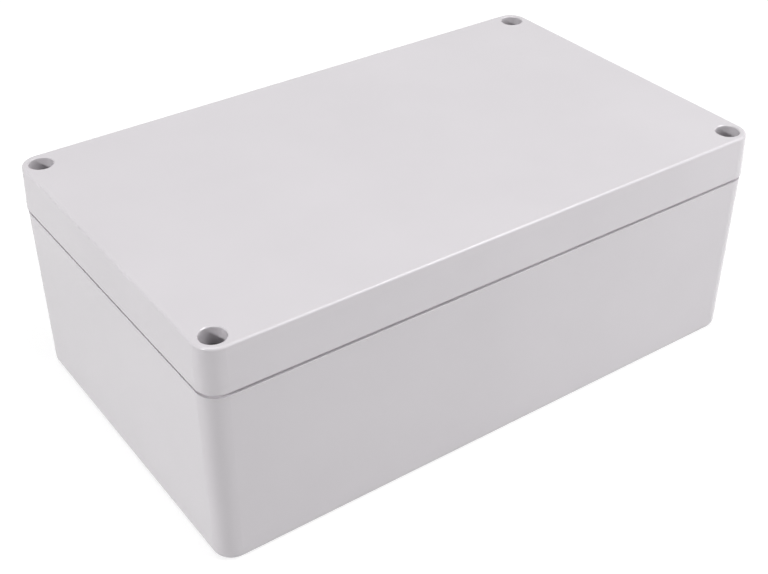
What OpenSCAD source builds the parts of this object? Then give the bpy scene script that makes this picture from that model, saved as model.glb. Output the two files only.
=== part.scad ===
// Junction box: a moulded base and a screwed-on lid with a gasket between them
// The origin is the middle of the back face, X runs along the length and Z points out through the lid

/* [Housing] */
// Outside length at the lid's foot
box_l = 200; // [170:1:260]
// Outside width at the lid's foot
box_w = 120; // [100:1:180]
// Height of the base up to the parting plane
base_h = 60; // [45:1:100]
// Height of the lid above the parting plane
lid_h = 15; // [14:0.5:24]
// Radius of the four upright corners at the lid's foot
corner_r = 6.8; // [5.5:0.1:8]
// Thickness of the base's walls at the rim
wall_t = 3; // [2.6:0.1:3.6]
// Thickness of the base's floor
floor_t = 3; // [2:0.1:5]
// Radius between the base's floor and its walls and posts
floor_fillet_r = 1.5; // [0.5:0.1:2.5]
// Thickness of the lid's sides at their foot
lid_wall_t = 3; // [2.4:0.1:3.3]
// Thickness of the lid's top
lid_top_t = 3; // [2:0.1:4]
// Draft of the base's sides in degrees
base_draft = 0.37; // [0.1:0.01:0.8]
// Draft of the lid's sides in degrees
lid_draft = 2.3; // [1:0.1:3.5]
// Radius of the base's foot edge
foot_r = 2.4; // [1:0.1:3.5]
// Radius of the lid's top edge
lid_edge_r = 0.8; // [0.4:0.1:2]

/* [Seam and seal] */
// Gap between the lid's sides and the base's rim
seam_gap = 0.3; // [0.2:0.05:0.5]
// Height of the rebate round the base's rim, which shows as a shadow line under the lid
rebate_h = 0.8; // [0.4:0.05:1.6]
// Depth of that rebate
rebate_w = 1; // [0.3:0.05:1.2]
// Radius of the lid's edge above the shadow line
lid_foot_r = 0.4; // [0.2:0.05:0.6]
// Radius of the base's edge below the shadow line
lip_r = 0.1; // [0.05:0.05:0.25]
// How far the lid's foot stands out beyond the base
lid_overhang = 0.3; // [0.1:0.05:0.4]
// Thickness of the tongue on the base's rim
tongue_t = 1.5; // [1:0.1:1.8]
// Height of the tongue above the parting plane
tongue_h = 2.5; // [1.5:0.1:3.5]
// Radius of the tongue's top edges
tongue_edge_r = 0.4; // [0.2:0.05:0.45]
// Room on each side of the tongue in the lid's groove
groove_clear = 0.2; // [0.15:0.05:0.3]
// Thickness of the rib inside the lid's groove
rib_t = 1.5; // [1:0.1:1.9]
// How far that rib reaches down into the base
rib_drop = 1; // [0.5:0.1:3]
// Thickness of the lid above its groove
roof_t = 2; // [1.5:0.1:3]
// Height of the gasket when it is pressed
gasket_h = 2.5; // [1.5:0.1:3.5]
// Room on each side of the gasket in the groove
gasket_clear = 0.1; // [0.05:0.01:0.2]

/* [Corner posts] */
// Distance of the screws from the lid's foot edges
screw_inset = 6.5; // [6.2:0.1:7.5]
// Radius of the corner posts
post_r = 7.5; // [7.1:0.1:9]
// Radius of the pads by which the lid lands on the posts
pad_r = 5; // [4.5:0.1:5.2]
// Outside diameter of the threaded inserts
insert_d = 5.6; // [5:0.1:6.4]
// Length of the threaded inserts
insert_l = 8; // [6:0.5:10]
// Width of the groove round the middle of the inserts
insert_groove_w = 1.2; // [0.6:0.1:2]
// Depth of the groove round the middle of the inserts
insert_groove_depth = 0.3; // [0.1:0.05:0.4]
// Lead-in chamfer at the foot of the inserts
insert_lead = 0.4; // [0.2:0.05:0.6]
// Room round the inserts in their pockets
insert_clear = 0.05; // [0.03:0.01:0.1]
// Diameter of the mounting holes in the back
mount_hole_d = 3.2; // [2.5:0.1:4.5]
// Depth of the mounting holes in the back
mount_hole_depth = 18; // [10:1:24]

/* [Screws] */
// Outside diameter of the screws' thread
screw_d = 3.9; // [3.4:0.1:4.1]
// Length of the screws under the head
screw_l = 16; // [14:0.5:20]
// Diameter of the screw heads
head_d = 7; // [6:0.1:7.2]
// Height of the screw heads
head_h = 2.6; // [2:0.1:3.2]
// Chamfer on the head's rim and the screw's point
screw_chamfer = 0.4; // [0.2:0.1:0.7]
// Length of the arms of the cross recess
recess_l = 4.2; // [3:0.1:5]
// Width of the arms of the cross recess
recess_w = 0.9; // [0.6:0.1:1.3]
// Depth of the cross recess
recess_depth = 1.6; // [1:0.1:1.9]
// Room between the thread and the insert's bore
thread_clear = 0.1; // [0.05:0.01:0.2]
// Room between the thread and the plain holes that it passes through
hole_clear = 0.3; // [0.2:0.05:0.4]
// Diameter of the wells in the lid
well_d = 7.6; // [7.4:0.1:8.4]
// Thickness of the lid under each well
web_t = 6.8; // [4:0.1:7]
// Chamfer round the mouth of each well
well_chamfer = 0.3; // [0.1:0.05:0.5]
// Thickness of the rubber washers
washer_t = 1; // [0.6:0.1:1.4]
// Outside diameter of the rubber washers
washer_d = 6.6; // [6:0.1:7]
// Room between a washer and its screw
washer_clear = 0.05; // [0.03:0.01:0.1]

/* [Board posts] */
// Spacing of the outer board posts along the length
outer_post_x = 160; // [120:1:164]
// Spacing of the outer board posts across the width
outer_post_y = 80; // [50:1:84]
// Spacing of the inner board posts along the length
inner_post_x = 80; // [40:1:100]
// Spacing of the inner board posts across the width
inner_post_y = 50; // [30:1:70]
// Diameter of the board posts
board_post_d = 7; // [6:0.1:9]
// Height of the board posts above the floor
board_post_h = 6; // [3:0.5:12]
// Size of the sloping root of the board posts
board_root = 1; // [0.5:0.1:2]
// Diameter of the holes in the board posts
board_hole_d = 2.5; // [2:0.1:3.5]
// Depth of the holes in the board posts
board_hole_depth = 6; // [4:0.5:8]

/* [Hidden] */
$fn = 64;
SCREWS = [1, 2, 3, 4];

plastic_grey = [0.86, 0.855, 0.865];
gasket_black = [0.10, 0.10, 0.11];
washer_black = [0.13, 0.13, 0.14];
insert_brass = [0.80, 0.62, 0.30];
screw_black = [0.20, 0.20, 0.21];

// Overlap that lets a cut pass clear of the face it opens
cut = 1;
// Hair's breadth by which a straight side starts inside the arc that it runs into
blend = 0.0001;

box_h = base_h + lid_h;
arc_x = box_l / 2 - corner_r;
arc_y = box_w / 2 - corner_r;
post_x = box_l / 2 - screw_inset;
post_y = box_w / 2 - screw_inset;
tongue_inset = lid_overhang + wall_t - tongue_t;
tongue_top = base_h + tongue_h;
groove_roof = tongue_top + gasket_h;
groove_in = tongue_t + groove_clear;
rib_in = groove_in + rib_t;
lid_foot = base_h + seam_gap;
lip_top = base_h - rebate_h;
well_floor = base_h + web_t;
screw_seat = well_floor + washer_t;
screw_tip = screw_seat - screw_l;
hole_d = screw_d + 2 * hole_clear;
// Depth left under a screw's point in the base
point_room = 2;

// Puts its children at each corner post, turned so that their +X and +Y point outwards
module in_corners() {
    places = [[post_x, post_y], [-post_x, post_y], [-post_x, -post_y], [post_x, -post_y]];
    for (i = [0 : 3])
        translate(places[i])
            rotate(90 * i)
                children();
}

// Puts its children at post number i, counted from the left front corner round the box
module at_post(i) {
    places = [[-post_x, -post_y], [post_x, -post_y], [post_x, post_y], [-post_x, post_y]];
    translate(places[i - 1])
        children();
}

// Puts its children at the corners of a rectangle
module at_rectangle(x, y) {
    for (sx = [-1, 1], sy = [-1, 1])
        translate([sx * x / 2, sy * y / 2])
            children();
}

// Half section of a block with a leaning side, rounded at both ends of that side
// u is the side's distance from the axis of the corner, and r the radius, at heights z0 and z1
module leaning_section(u0, z0, r0, u1, z1, r1) {
    lean = atan2(u0 - u1, z1 - z0);
    out = [cos(lean), sin(lean)];
    c0 = [u0 - r0 * (1 + sin(lean)) / cos(lean), z0 + r0];
    c1 = [u1 - r1 * (1 - sin(lean)) / cos(lean), z1 - r1];
    union() {
        polygon([
            [0, z0], [c0.x, z0], c0, c0 + (r0 - blend) * out,
            c1 + (r1 - blend) * out, c1, [c1.x, z1], [0, z1]
        ]);
        translate(c0)
            rotate(180)
                circle(r = r0);
        translate(c1)
            rotate(180)
                circle(r = r1);
    }
}

// Block with a rounded outline whose sides follow the half section given as its child
module swept_block(z0, z1) {
    translate([-arc_x, -arc_y, z0])
        cube([2 * arc_x, 2 * arc_y, z1 - z0]);
    for (turn = [0, 180])
        rotate(turn) {
            translate([arc_x, arc_y, 0])
                rotate([90, 0, 0])
                    linear_extrude(2 * arc_y)
                        children();
            translate([-arc_x, arc_y, 0])
                rotate([90, 0, 90])
                    linear_extrude(2 * arc_x)
                        children();
            translate([arc_x, arc_y, 0])
                rotate_extrude(angle = 90)
                    children();
            translate([-arc_x, arc_y, 0])
                rotate(90)
                    rotate_extrude(angle = 90)
                        children();
        }
}

// Area inside the seal line, taken in by d from the tongue's outer face
// It runs along the walls and round the inside of each post in quarter circles
module seal_area(d) {
    inset = tongue_inset + d;
    bend_r = screw_inset - inset;
    round_r = post_r - tongue_t + d;
    reach = bend_r + round_r;
    difference() {
        union() {
            difference() {
                square([box_l - 2 * inset, box_w - 2 * inset], center = true);
                in_corners() {
                    translate([-reach, 0])
                        square([reach + screw_inset, screw_inset]);
                    translate([0, -reach])
                        square([screw_inset, reach + screw_inset]);
                }
            }
            in_corners() {
                translate([-reach, 0])
                    circle(r = bend_r);
                translate([0, -reach])
                    circle(r = bend_r);
            }
        }
        in_corners()
            circle(r = round_r);
    }
}

// Solid between two heights over the area inside the seal line
module seal_block(d, z0, z1) {
    translate([0, 0, z0])
        linear_extrude(z1 - z0)
            seal_area(d);
}

// Solid between two heights over the strip between two offsets from the seal line
module seal_strip(d0, d1, z0, z1) {
    translate([0, 0, z0])
        linear_extrude(z1 - z0)
            difference() {
                seal_area(d0);
                seal_area(d1);
            }
}

// Ring along the seal line whose section is given as its child
// The section's X is the distance in from the tongue's outer face, and its Y is the height
module seal_ring() {
    bend_r = screw_inset - tongue_inset;
    round_r = post_r - tongue_t;
    reach = bend_r + round_r;
    side_x = post_x - reach;
    side_y = post_y - reach;
    for (turn = [0, 180])
        rotate(turn) {
            translate([post_x + bend_r, side_y, 0])
                rotate([90, 0, 0])
                    linear_extrude(2 * side_y)
                        mirror([1, 0])
                            children();
            translate([-side_x, post_y + bend_r, 0])
                rotate([90, 0, 90])
                    linear_extrude(2 * side_x)
                        mirror([1, 0])
                            children();
        }
    in_corners() {
        for (place = [[-reach, 0], [0, -reach]])
            translate(place)
                rotate_extrude(angle = 90)
                    translate([bend_r, 0])
                        mirror([1, 0])
                            children();
        rotate(180)
            rotate_extrude(angle = 90)
                translate([round_r, 0])
                    children();
    }
}

// Bar section between two offsets and two heights, with its top edges rounded
module round_topped_section(d0, d1, z0, z1, r) {
    translate([d0, z0])
        square([d1 - d0, z1 - z0 - r]);
    translate([d0 + r, z0])
        square([d1 - d0 - 2 * r, z1 - z0]);
    for (d = [d0 + r, d1 - r])
        translate([d, z1 - r])
            circle(r = r);
}

// Section of the fillet that fills the corner between a wall and the floor
module fillet_section(d, z, r) {
    translate([d, z])
        difference() {
            square(r);
            translate([r, r])
                circle(r = r);
        }
}

// Post on the base's floor that carries a circuit board
module board_post() {
    difference() {
        union() {
            cylinder(d = board_post_d, h = board_post_h);
            cylinder(d1 = board_post_d + 2 * board_root, d2 = board_post_d, h = board_root);
        }
        translate([0, 0, board_post_h - board_hole_depth])
            cylinder(d = board_hole_d, h = board_hole_depth + cut);
    }
}

// Moulded tub with a sealing tongue on its rim
module base() {
    top_u = corner_r - lid_overhang;
    foot_u = top_u - lip_top * tan(base_draft);
    insert_pocket_d = insert_d + 2 * insert_clear;
    color(plastic_grey) {
        difference() {
            swept_block(0, base_h) {
                leaning_section(foot_u, 0, foot_r, top_u, lip_top, lip_r);
                translate([0, lip_top - cut])
                    square([top_u - rebate_w, rebate_h + cut]);
            }
            seal_block(tongue_t, floor_t, base_h + cut);
            for (i = SCREWS)
                at_post(i) {
                    translate([0, 0, base_h - insert_l])
                        cylinder(d = insert_pocket_d, h = insert_l + cut);
                    translate([0, 0, screw_tip - point_room])
                        cylinder(d = hole_d, h = base_h - screw_tip + point_room);
                    translate([0, 0, -cut])
                        cylinder(d = mount_hole_d, h = mount_hole_depth + cut);
                }
        }
        seal_ring()
            round_topped_section(0, tongue_t, base_h, tongue_top, tongue_edge_r);
        seal_ring()
            fillet_section(tongue_t, floor_t, floor_fillet_r);
        translate([0, 0, floor_t]) {
            at_rectangle(outer_post_x, outer_post_y)
                board_post();
            at_rectangle(inner_post_x, inner_post_y)
                board_post();
        }
    }
}

// Brass inserts pressed into the corner posts, with a groove that the plastic grips
module threaded_inserts() {
    bore_r = screw_d / 2 + thread_clear;
    band_r = insert_d / 2;
    waist_r = band_r - insert_groove_depth;
    waist_z = (insert_l - insert_groove_w) / 2;
    color(insert_brass)
        for (i = SCREWS)
            at_post(i)
                translate([0, 0, base_h - insert_l])
                    rotate_extrude()
                        polygon([
                            [bore_r, 0], [band_r - insert_lead, 0], [band_r, insert_lead],
                            [band_r, waist_z], [waist_r, waist_z],
                            [waist_r, insert_l - waist_z], [band_r, insert_l - waist_z],
                            [band_r, insert_l], [bore_r, insert_l]
                        ]);
}

// Moulded cover with a groove for the gasket and a well for each screw
module lid() {
    top_u = corner_r - (box_h - lid_foot) * tan(lid_draft);
    ceiling = box_h - lid_top_t;
    color(plastic_grey)
        difference() {
            union() {
                swept_block(lid_foot, box_h)
                    leaning_section(corner_r, lid_foot, lid_foot_r, top_u, box_h, lid_edge_r);
                seal_block(groove_in, base_h - rib_drop, lid_foot + cut);
                for (i = SCREWS)
                    at_post(i)
                        translate([0, 0, base_h])
                            cylinder(r = pad_r, h = seam_gap + cut);
            }
            seal_block(rib_in, base_h - rib_drop - cut, groove_roof + roof_t);
            seal_block(lid_wall_t - tongue_inset, groove_roof + roof_t, ceiling);
            seal_strip(-groove_clear, groove_in, lid_foot - cut, groove_roof);
            for (i = SCREWS)
                at_post(i) {
                    translate([0, 0, base_h - cut])
                        cylinder(d = hole_d, h = lid_h);
                    translate([0, 0, well_floor])
                        cylinder(d = well_d, h = lid_h);
                    translate([0, 0, box_h - well_chamfer])
                        cylinder(d1 = well_d, d2 = well_d + 4 * well_chamfer, h = 2 * well_chamfer);
                }
        }
}

// Rubber ring that the tongue presses into the lid's groove
module lid_gasket() {
    side_clear = groove_clear - gasket_clear;
    color(gasket_black)
        seal_strip(-side_clear, tongue_t + side_clear, tongue_top, groove_roof);
}

// Rubber washer that grips screw number i under its head
module screw_washer(i) {
    color(washer_black)
        at_post(i)
            translate([0, 0, well_floor])
                difference() {
                    cylinder(d = washer_d, h = washer_t);
                    translate([0, 0, -cut])
                        cylinder(d = screw_d + 2 * washer_clear, h = washer_t + 2 * cut);
                }
}

// Lid screw number i with a cross recess
module cover_screw(i) {
    shank_r = screw_d / 2;
    head_r = head_d / 2;
    head_top = screw_seat + head_h;
    color(screw_black)
        at_post(i)
            difference() {
                rotate_extrude()
                    polygon([
                        [0, screw_tip], [shank_r - screw_chamfer, screw_tip],
                        [shank_r, screw_tip + screw_chamfer], [shank_r, screw_seat],
                        [head_r, screw_seat], [head_r, head_top - screw_chamfer],
                        [head_r - screw_chamfer, head_top], [0, head_top]
                    ]);
                for (turn = [0, 90])
                    rotate(turn)
                        translate([-recess_l / 2, -recess_w / 2, head_top - recess_depth])
                            cube([recess_l, recess_w, recess_depth + cut]);
            }
}

base();
threaded_inserts();
lid();
lid_gasket();
for (i = SCREWS) {
    screw_washer(i);
    cover_screw(i);
}
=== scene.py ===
import math

import bmesh
import bpy
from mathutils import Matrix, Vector


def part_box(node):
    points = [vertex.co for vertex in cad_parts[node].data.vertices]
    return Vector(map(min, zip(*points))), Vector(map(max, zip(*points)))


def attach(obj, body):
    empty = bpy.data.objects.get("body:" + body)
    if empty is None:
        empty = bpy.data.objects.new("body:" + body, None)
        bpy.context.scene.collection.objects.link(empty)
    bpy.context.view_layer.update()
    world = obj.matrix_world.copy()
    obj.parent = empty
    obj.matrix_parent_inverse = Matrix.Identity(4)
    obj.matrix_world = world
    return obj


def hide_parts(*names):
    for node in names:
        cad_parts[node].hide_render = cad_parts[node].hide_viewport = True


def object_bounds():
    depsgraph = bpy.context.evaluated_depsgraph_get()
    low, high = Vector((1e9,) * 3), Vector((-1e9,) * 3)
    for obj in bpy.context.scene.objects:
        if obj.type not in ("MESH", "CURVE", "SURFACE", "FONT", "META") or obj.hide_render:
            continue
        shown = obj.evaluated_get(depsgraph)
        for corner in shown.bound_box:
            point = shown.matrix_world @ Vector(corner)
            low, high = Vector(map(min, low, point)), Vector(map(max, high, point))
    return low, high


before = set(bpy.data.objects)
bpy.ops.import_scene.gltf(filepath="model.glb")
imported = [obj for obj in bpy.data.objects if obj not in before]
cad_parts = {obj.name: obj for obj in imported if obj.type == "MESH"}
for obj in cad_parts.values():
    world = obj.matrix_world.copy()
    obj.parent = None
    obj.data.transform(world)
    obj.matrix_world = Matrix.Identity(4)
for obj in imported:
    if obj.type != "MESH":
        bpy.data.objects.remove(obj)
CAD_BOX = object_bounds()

MM = 0.001

# Camera fitted to the box's edges in the photograph, as a picture of 768 by 574
AZIMUTH = math.radians(-35.33)
ELEVATION = math.radians(34.86)
DISTANCE = 435.72 * MM
TARGET = Vector((-1.876, 1.441, 21.523)) * MM
FOCAL_PIXELS = 1296.8
PICTURE_WIDTH = 768
SENSOR_MM = 36.0
CLIP_START = 10 * MM

# Colours, linear
PLASTIC_GREY = (0.699, 0.671, 0.699)
RUBBER_BLACK = (0.022, 0.022, 0.024)
SEAL_BLACK = (0.030, 0.030, 0.031)
BLACK_STEEL = (0.045, 0.045, 0.048)
BRASS = (0.72, 0.50, 0.20)
WHITE = (1, 1, 1, 1)

# Noise values between which a colour and a number run from one end to the other
COLOUR_SPREAD = (0.35, 0.65)
VALUE_SPREAD = (0.3, 0.7)

# Surfaces: tints in shares of a colour, noise in features per metre and detail, bumps in height and strength
PLASTIC_IOR = 1.54
PLASTIC_ROUGHNESS = (0.19, 0.26)
PLASTIC_TINTS = (0.985, 1.015)
CLOUD_NOISE = (22, 3)
GRAIN_NOISE = (2600, 2)
GRAIN_BUMP = (0.012 * MM, 0.5)
WAVE_NOISE = (30, 1)
WAVE_BUMP = (0.06 * MM, 0.5)
RUBBER_ROUGHNESS = (0.6, 0.8)
RUBBER_TINTS = (0.7, 1.4)
SEAL_NOISE = (1800, 3)
SEAL_BUMP = (0.03 * MM, 0.8)
WASHER_NOISE = (2600, 3)
WASHER_BUMP = (0.015 * MM, 0.8)
STEEL_ROUGHNESS = (0.28, 0.42)
BRASS_ROUGHNESS = (0.24, 0.38)
METAL_TINTS = (0.86, 1.06)
TARNISH_NOISE = (700, 4)
LATHE_SCALE = 900
LATHE_DISTORTION = 1.5
LATHE_DETAIL = 2.0
LATHE_BUMP = (0.004 * MM, 0.6)

# Cover screws: an M4 thread on the shank and a domed head with a cross recess
THREAD_PITCH = 0.7 * MM
THREAD_DEPTH = 0.42 * MM
THREAD_ROOT_SHARE = 0.15
THREAD_FLANK_SHARE = 0.65
SHANK_RADIUS = 1.95 * MM
SHANK_PLAIN_TURNS = 0.6
NECK_ROWS = 2
NECK_FILLET = 0.1 * MM
POINT_LENGTH = 0.8 * MM
POINT_START = 0.4
POINT_PROFILE = ((0.6, 0.0), (0.9, 0.25))
HEAD_HEIGHT = 2.6 * MM
HEAD_SEAT_CHAMFER = 0.15 * MM
HEAD_DOME = 0.55 * MM
HEAD_ROUND = 0.5 * MM
HEAD_ROUND_STEPS = 6
CROWN_SHARES = (0.85, 0.7, 0.5, 0.3, 0.1)
RECESS_DEPTH = 1.6 * MM
RECESS_TOP = (2.1 * MM, 0.45 * MM)
RECESS_FOOT = (1.15 * MM, 0.34 * MM)
RECESS_OVERRUN = 0.2 * MM
SCREW_COLUMNS = 48
SCREW_CREASE = math.radians(35)
ROWS_PER_PITCH = 10

# Threaded inserts: a knurled brass bush with the same thread inside
INSERT_BORE = 2.05 * MM
INSERT_GROOVE = 1.2 * MM
INSERT_GROOVE_DEPTH = 0.3 * MM
INSERT_LEAD = 0.4 * MM
INSERT_LEAD_SLOPE = 0.5
INSERT_THREAD_DEPTH = 0.3 * MM
KNURL_DEPTH = 0.16 * MM
KNURL_TEETH = 30
INSERT_COLUMNS = 120
INSERT_ROWS = 96
INSERT_CREASE = math.radians(40)

# Studio: the floor's grey for light, and the grey and glow that the eye sees on it
FLOOR_RADIUS = 0.6
FLOOR_SIDES = 96
FLOOR_GREY = (0.5, 0.5, 0.5, 1)
FLOOR_SEEN_GREY = (0.36, 0.36, 0.36, 1)
FLOOR_SEEN_GLOW = 0.74
WORLD_LIGHT = 0.02
LAMP_DISTANCE = 1.1

# Numbers of the cover screws, and of one at the far short side
SCREWS = (1, 2, 3, 4)
FAR_SCREW = 2


def add_camera():
    """The camera at the photograph's place."""
    back = Vector((
        math.sin(AZIMUTH) * math.cos(ELEVATION),
        -math.cos(AZIMUTH) * math.cos(ELEVATION),
        math.sin(ELEVATION),
    ))
    data = bpy.data.cameras.new("camera")
    data.sensor_width = SENSOR_MM
    data.sensor_fit = "HORIZONTAL"
    data.lens = FOCAL_PIXELS / PICTURE_WIDTH * SENSOR_MM
    data.clip_start = CLIP_START
    camera = bpy.data.objects.new("camera", data)
    camera.location = TARGET + DISTANCE * back
    camera.rotation_euler = back.to_track_quat("Z", "Y").to_euler()
    bpy.context.scene.collection.objects.link(camera)
    bpy.context.scene.camera = camera


def new_material(name):
    """A material, its node tree and its main shader."""
    material = bpy.data.materials.new(name)
    material.use_nodes = True
    tree = material.node_tree
    return material, tree, tree.nodes["Principled BSDF"]


def add_node(tree, kind, **values):
    """A shader node with some of its sockets set, an underscore standing for a space in a socket's name."""
    made = tree.nodes.new(kind)
    for name, value in values.items():
        made.inputs[name.replace("_", " ")].default_value = value
    return made


def add_noise(tree, place, texture):
    """Noise with features per metre and detail."""
    scale, detail = texture
    noise = add_node(tree, "ShaderNodeTexNoise", Scale=scale, Detail=detail)
    tree.links.new(place, noise.inputs["Vector"])
    return noise.outputs["Fac"]


def object_place(tree):
    """The point on the surface, in metres in the part's frame."""
    return tree.nodes.new("ShaderNodeTexCoord").outputs["Object"]


def shade_with(tree, amount, colour, tints, shader):
    """A shader's colour, running from its dark tint to its light one over the noise's usual range."""
    ramp = tree.nodes.new("ShaderNodeValToRGB")
    for element, position, factor in zip(ramp.color_ramp.elements, COLOUR_SPREAD, tints):
        element.position = position
        element.color = (*(factor * c for c in colour), 1)
    tree.links.new(amount, ramp.inputs["Fac"])
    tree.links.new(ramp.outputs["Color"], shader.inputs["Base Color"])


def roughen(tree, amount, roughness, shader):
    """A shader's roughness, running from low to high over the noise's usual range."""
    spread = add_node(
        tree, "ShaderNodeMapRange",
        From_Min=VALUE_SPREAD[0], From_Max=VALUE_SPREAD[1], To_Min=roughness[0], To_Max=roughness[1],
    )
    tree.links.new(amount, spread.inputs["Value"])
    tree.links.new(spread.outputs["Result"], shader.inputs["Roughness"])


def add_bump(tree, amount, relief, shader, under=None):
    """Bump of a height in metres and a strength on a shader, over another bump if one is given."""
    height, strength = relief
    bump = add_node(tree, "ShaderNodeBump", Distance=height, Strength=strength)
    tree.links.new(amount, bump.inputs["Height"])
    if under is not None:
        tree.links.new(under.outputs["Normal"], bump.inputs["Normal"])
    tree.links.new(bump.outputs["Normal"], shader.inputs["Normal"])
    return bump


def moulded_plastic():
    """Satin moulded ABS: a fine eroded grain, a slow waviness and a faint cloud of flow in the colour."""
    material, tree, shader = new_material("moulded_plastic")
    shader.inputs["IOR"].default_value = PLASTIC_IOR
    place = object_place(tree)
    cloud = add_noise(tree, place, CLOUD_NOISE)
    grain = add_noise(tree, place, GRAIN_NOISE)
    wave = add_noise(tree, place, WAVE_NOISE)
    shade_with(tree, cloud, PLASTIC_GREY, PLASTIC_TINTS, shader)
    roughen(tree, grain, PLASTIC_ROUGHNESS, shader)
    slow = add_bump(tree, wave, WAVE_BUMP, shader)
    add_bump(tree, grain, GRAIN_BUMP, shader, slow)
    return material


def rubber(name, colour, texture, relief):
    """Matt black rubber with fine pores."""
    material, tree, shader = new_material(name)
    pores = add_noise(tree, object_place(tree), texture)
    shade_with(tree, pores, colour, RUBBER_TINTS, shader)
    roughen(tree, pores, RUBBER_ROUGHNESS, shader)
    add_bump(tree, pores, relief, shader)
    return material


def turned_metal(name, colour, roughness):
    """Metal with the fine rings that a lathe leaves, and a little tarnish."""
    material, tree, shader = new_material(name)
    shader.inputs["Metallic"].default_value = 1.0
    place = object_place(tree)
    rings = add_node(
        tree, "ShaderNodeTexWave", Scale=LATHE_SCALE, Distortion=LATHE_DISTORTION, Detail=LATHE_DETAIL,
    )
    rings.wave_type = "RINGS"
    rings.rings_direction = "Z"
    tree.links.new(place, rings.inputs["Vector"])
    tarnish = add_noise(tree, place, TARNISH_NOISE)
    shade_with(tree, tarnish, colour, METAL_TINTS, shader)
    roughen(tree, tarnish, roughness, shader)
    add_bump(tree, rings.outputs["Fac"], LATHE_BUMP, shader)
    return material


def dress(node, material):
    """One material on a CAD node."""
    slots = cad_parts[node].data.materials
    slots.clear()
    slots.append(material)


def thread_share(phase):
    """Height of a thread's ridge, from 0 at the root to 1 at the crest, over one turn's pitch."""
    flank = (abs(2 * (phase % 1.0) - 1) - THREAD_ROOT_SHARE) / THREAD_FLANK_SHARE
    return min(1.0, max(0.0, flank))


def ring_mesh(name, rows, columns, closed):
    """A mesh of rings round Z. Each row is a function of the angle that gives a radius and a height.
    The rows close on themselves, or end in a flat cap at each end."""
    shape = bmesh.new()
    rings = []
    for row in rows:
        ring = []
        for k in range(columns):
            angle = 2 * math.pi * k / columns
            radius, height = row(angle)
            ring.append(shape.verts.new((radius * math.cos(angle), radius * math.sin(angle), height)))
        rings.append(ring)
    pairs = list(zip(rings, rings[1:]))
    if closed:
        pairs.append((rings[-1], rings[0]))
    for low, high in pairs:
        bridge(shape, low, high)
    if not closed:
        shape.faces.new(rings[0][::-1])
        shape.faces.new(rings[-1])
    return finished_mesh(name, shape)


def bridge(shape, low, high):
    """A band of faces between two rings of as many points."""
    for k in range(len(low)):
        after = (k + 1) % len(low)
        shape.faces.new((low[k], low[after], high[after], high[k]))


def finished_mesh(name, shape):
    """A mesh from a bmesh, with its faces turned outwards."""
    bmesh.ops.recalc_face_normals(shape, faces=shape.faces)
    mesh = bpy.data.meshes.new(name)
    shape.to_mesh(mesh)
    shape.free()
    return mesh


def plain_row(radius, height):
    """A round row of a ring mesh."""
    return lambda angle: (radius, height)


def screw_rows(length, head_radius):
    """Rows of a cover screw from its point at the bottom to the top of its head.
    The head's seat is at height 0."""
    root = SHANK_RADIUS - THREAD_DEPTH
    rows = [plain_row(wide * root, -length + up * POINT_LENGTH) for wide, up in POINT_PROFILE]

    def thread_row(height):
        above_point = height + length
        grow = min(1.0, above_point / POINT_LENGTH)
        fade = min(1.0, max(0.0, -height / THREAD_PITCH - SHANK_PLAIN_TURNS))

        def row(angle):
            ridge = thread_share(height / THREAD_PITCH - angle / (2 * math.pi))
            return root + THREAD_DEPTH * ridge * grow * fade, height

        return row

    step = THREAD_PITCH / ROWS_PER_PITCH
    start = -length + POINT_START * POINT_LENGTH
    count = int((-start - NECK_ROWS * step) / step)
    rows += [thread_row(start + k * step) for k in range(count)]
    rows += [plain_row(root, -step), plain_row(root + NECK_FILLET, 0)]

    # Flat seat, rounded rim and domed top of the head
    rows += [plain_row(head_radius - HEAD_SEAT_CHAMFER, 0), plain_row(head_radius, HEAD_SEAT_CHAMFER)]
    shoulder = HEAD_HEIGHT - HEAD_DOME - HEAD_ROUND
    crown = head_radius - HEAD_ROUND
    for k in range(HEAD_ROUND_STEPS + 1):
        turn = math.pi / 2 * k / HEAD_ROUND_STEPS
        rows.append(plain_row(crown + HEAD_ROUND * math.cos(turn), shoulder + HEAD_ROUND * math.sin(turn)))
    for share in CROWN_SHARES:
        rows.append(plain_row(crown * share, HEAD_HEIGHT - HEAD_DOME * share * share))
    return rows


def cross_outline(reach, half):
    """The twelve corners of a cross with arms that far out and that wide each side."""
    arm = [(reach, -half), (reach, half), (half, half)]
    corners = []
    for quarter in range(4):
        for x, y in arm:
            for _ in range(quarter):
                x, y = -y, x
            corners.append((x, y))
    return corners


def recess_cutter():
    """The tapered cross that a driver fits, reaching a little above the head."""
    shape = bmesh.new()
    levels = ((RECESS_FOOT, HEAD_HEIGHT - RECESS_DEPTH), (RECESS_TOP, HEAD_HEIGHT + RECESS_OVERRUN))
    low, high = (
        [shape.verts.new((x, y, height)) for x, y in cross_outline(*arms)] for arms, height in levels
    )
    shape.faces.new(low[::-1])
    shape.faces.new(high)
    bridge(shape, low, high)
    return finished_mesh("recess_cutter", shape)


def screw_mesh(length, head_radius):
    """One cover screw with its recess cut, standing on the seat of its head."""
    blank = ring_mesh("cover_screw", screw_rows(length, head_radius), SCREW_COLUMNS, False)
    whole = bpy.data.objects.new("screw_blank", blank)
    cutter = bpy.data.objects.new("recess_cutter", recess_cutter())
    for piece in (whole, cutter):
        bpy.context.scene.collection.objects.link(piece)
    cut = whole.modifiers.new("recess", "BOOLEAN")
    cut.operation = "DIFFERENCE"
    cut.solver = "EXACT"
    cut.object = cutter
    graph = bpy.context.evaluated_depsgraph_get()
    mesh = bpy.data.meshes.new_from_object(whole.evaluated_get(graph))
    for piece in (whole, cutter):
        bpy.data.objects.remove(piece)
    smooth(mesh, SCREW_CREASE)
    return mesh


def smooth(mesh, crease):
    """Smooth shading, with edges sharper than an angle left crisp."""
    mesh.shade_smooth()
    mesh.set_sharp_from_angle(angle=crease)


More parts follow.
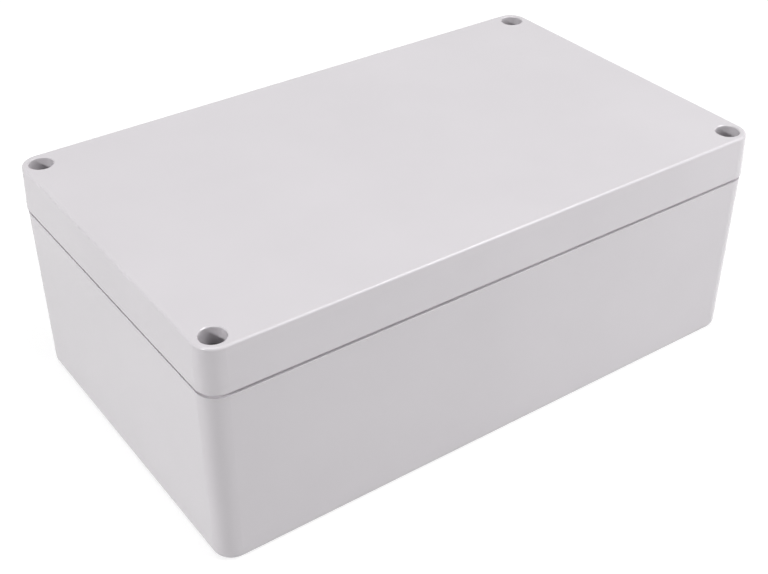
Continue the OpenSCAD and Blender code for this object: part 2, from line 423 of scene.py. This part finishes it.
def screw_axis(k):
    """Where screw number k stands."""
    low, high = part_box(f"cover_screw_{k}")
    return (low.x + high.x) / 2, (low.y + high.y) / 2


def add_screws(material):
    """The four cover screws, each on its own body."""
    low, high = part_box("cover_screw_1")
    seat = high.z - HEAD_HEIGHT
    mesh = screw_mesh(seat - low.z, (high.x - low.x) / 2)
    mesh.materials.append(material)
    for k in SCREWS:
        piece = bpy.data.objects.new(f"threaded_screw_{k}", mesh)
        piece.location = (*screw_axis(k), seat)
        bpy.context.scene.collection.objects.link(piece)
        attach(piece, f"screw_{k}")
        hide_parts(f"cover_screw_{k}")


def insert_rows(length, radius):
    """Rows of a threaded insert from its foot up its knurled outside and down its threaded bore."""

    def lead_in(height):
        return min(1.0, height / INSERT_LEAD, (length - height) / INSERT_LEAD)

    def knurl_row(height):
        in_groove = abs(height - length / 2) < INSERT_GROOVE / 2
        lead = lead_in(height)
        core = radius - INSERT_LEAD * INSERT_LEAD_SLOPE * (1 - lead)

        def row(angle):
            if in_groove:
                return radius - INSERT_GROOVE_DEPTH, height
            turn = angle * KNURL_TEETH
            climb = height / radius * KNURL_TEETH
            ridge = max(math.cos(turn + climb), math.cos(turn - climb))
            return core - KNURL_DEPTH * lead * (1 - ridge) / 2, height

        return row

    def bore_row(height):
        lead = lead_in(height)

        def row(angle):
            ridge = thread_share(height / THREAD_PITCH - angle / (2 * math.pi))
            return INSERT_BORE + INSERT_THREAD_DEPTH * (ridge * lead + 1 - lead), height

        return row

    heights = [length * k / INSERT_ROWS for k in range(INSERT_ROWS + 1)]
    return [knurl_row(h) for h in heights] + [bore_row(h) for h in reversed(heights)]


def add_inserts(material):
    """The four brass inserts in the base's corner posts, as one piece."""
    low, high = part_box("threaded_inserts")
    radius = high.x - screw_axis(FAR_SCREW)[0]
    one = ring_mesh("insert", insert_rows(high.z - low.z, radius), INSERT_COLUMNS, True)
    shape = bmesh.new()
    for k in SCREWS:
        before = len(shape.verts)
        shape.from_mesh(one)
        shape.verts.ensure_lookup_table()
        bmesh.ops.translate(shape, verts=shape.verts[before:], vec=(*screw_axis(k), low.z))
    mesh = bpy.data.meshes.new("knurled_inserts")
    shape.to_mesh(mesh)
    shape.free()
    bpy.data.meshes.remove(one)
    smooth(mesh, INSERT_CREASE)
    mesh.materials.append(material)
    piece = bpy.data.objects.new("knurled_inserts", mesh)
    bpy.context.scene.collection.objects.link(piece)
    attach(piece, "base")
    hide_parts("threaded_inserts")


def seen_directly(tree):
    """1 for rays from the camera and for those that mirrors and glass send on, 0 for the light itself."""
    path = tree.nodes.new("ShaderNodeLightPath")
    total = path.outputs["Is Camera Ray"]
    for name in ("Is Glossy Ray", "Is Transmission Ray"):
        add = tree.nodes.new("ShaderNodeMath")
        add.operation = "ADD"
        add.use_clamp = True
        tree.links.new(total, add.inputs[0])
        tree.links.new(path.outputs[name], add.inputs[1])
        total = add.outputs["Value"]
    return total


def choose_seen(tree, unseen, seen, output):
    """One shader for the light itself and another for what is seen, on an output's surface."""
    choose = tree.nodes.new("ShaderNodeMixShader")
    tree.links.new(seen_directly(tree), choose.inputs["Fac"])
    tree.links.new(unseen, choose.inputs[1])
    tree.links.new(seen, choose.inputs[2])
    tree.links.new(choose.outputs["Shader"], output.inputs["Surface"])


def add_floor():
    """A plain pale round floor, white to the eye but for the object's shadow."""
    shape = bmesh.new()
    bmesh.ops.create_circle(shape, cap_ends=True, radius=FLOOR_RADIUS, segments=FLOOR_SIDES)
    mesh = bpy.data.meshes.new("floor")
    shape.to_mesh(mesh)
    shape.free()
    floor = bpy.data.objects.new("floor", mesh)
    bpy.context.scene.collection.objects.link(floor)
    material = bpy.data.materials.new("floor")
    material.use_nodes = True
    tree = material.node_tree
    tree.nodes.clear()
    plain = add_node(tree, "ShaderNodeBsdfDiffuse", Color=FLOOR_GREY)
    shadow = add_node(tree, "ShaderNodeBsdfDiffuse", Color=FLOOR_SEEN_GREY)
    glow = add_node(tree, "ShaderNodeEmission", Color=WHITE, Strength=FLOOR_SEEN_GLOW)
    white = tree.nodes.new("ShaderNodeAddShader")
    tree.links.new(shadow.outputs["BSDF"], white.inputs[0])
    tree.links.new(glow.outputs["Emission"], white.inputs[1])
    output = tree.nodes.new("ShaderNodeOutputMaterial")
    choose_seen(tree, plain.outputs["BSDF"], white.outputs["Shader"], output)
    mesh.materials.append(material)


def add_world():
    """White surroundings, and a faint even light."""
    world = bpy.data.worlds.new("studio")
    bpy.context.scene.world = world
    world.use_nodes = True
    tree = world.node_tree
    tree.nodes.clear()
    light = add_node(tree, "ShaderNodeBackground", Color=WHITE, Strength=WORLD_LIGHT)
    white = add_node(tree, "ShaderNodeBackground", Color=WHITE, Strength=1.0)
    output = tree.nodes.new("ShaderNodeOutputWorld")
    choose_seen(tree, light.outputs["Background"], white.outputs["Background"], output)


def add_softbox(name, azimuth, elevation, size, power, mirrored=True):
    """A square lamp turned to the middle of the box, which shows in glossy surfaces if it is mirrored.
    Azimuth 0 is the long front side and 90 the far short one."""
    middle = (CAD_BOX[0] + CAD_BOX[1]) / 2
    turn = math.radians(azimuth)
    rise = math.radians(elevation)
    towards = Vector((math.sin(turn) * math.cos(rise), -math.cos(turn) * math.cos(rise), math.sin(rise)))
    data = bpy.data.lights.new(name, "AREA")
    data.energy = power
    data.size = size
    lamp = bpy.data.objects.new(name, data)
    lamp.location = middle + LAMP_DISTANCE * towards
    lamp.rotation_euler = towards.to_track_quat("Z", "Y").to_euler()
    lamp.visible_glossy = mirrored
    bpy.context.scene.collection.objects.link(lamp)


# Materials on the CAD nodes, and the pieces that replace some of them
plastic = moulded_plastic()
dress("base", plastic)
dress("lid", plastic)
dress("lid_gasket", rubber("seal_rubber", SEAL_BLACK, SEAL_NOISE, SEAL_BUMP))
washer_rubber = rubber("washer_rubber", RUBBER_BLACK, WASHER_NOISE, WASHER_BUMP)
for k in SCREWS:
    dress(f"screw_washer_{k}", washer_rubber)
add_screws(turned_metal("black_steel", BLACK_STEEL, STEEL_ROUGHNESS))
add_inserts(turned_metal("brass", BRASS, BRASS_ROUGHNESS))

add_camera()
add_floor()
add_world()

# Lamps, each with its azimuth and elevation in degrees, its size in metres and its power in watts
add_softbox("left_key", 283, 24.5, 0.05, 4.75)
add_softbox("left_fill", 245, 6, 0.6, 2.4, mirrored=False)
add_softbox("top_softbox", 265, 84, 0.6, 5.05)
add_softbox("front_softbox", 36, 46, 0.3, 2.3)
add_softbox("right_softbox", 55, 46, 0.4, 2.7)
add_softbox("right_fill", 46, 7, 0.6, 5.85, mirrored=False)
add_softbox("rear_fill", 150, 7, 0.6, 4.2, mirrored=False)

bpy.context.scene.view_settings.view_transform = "Standard"
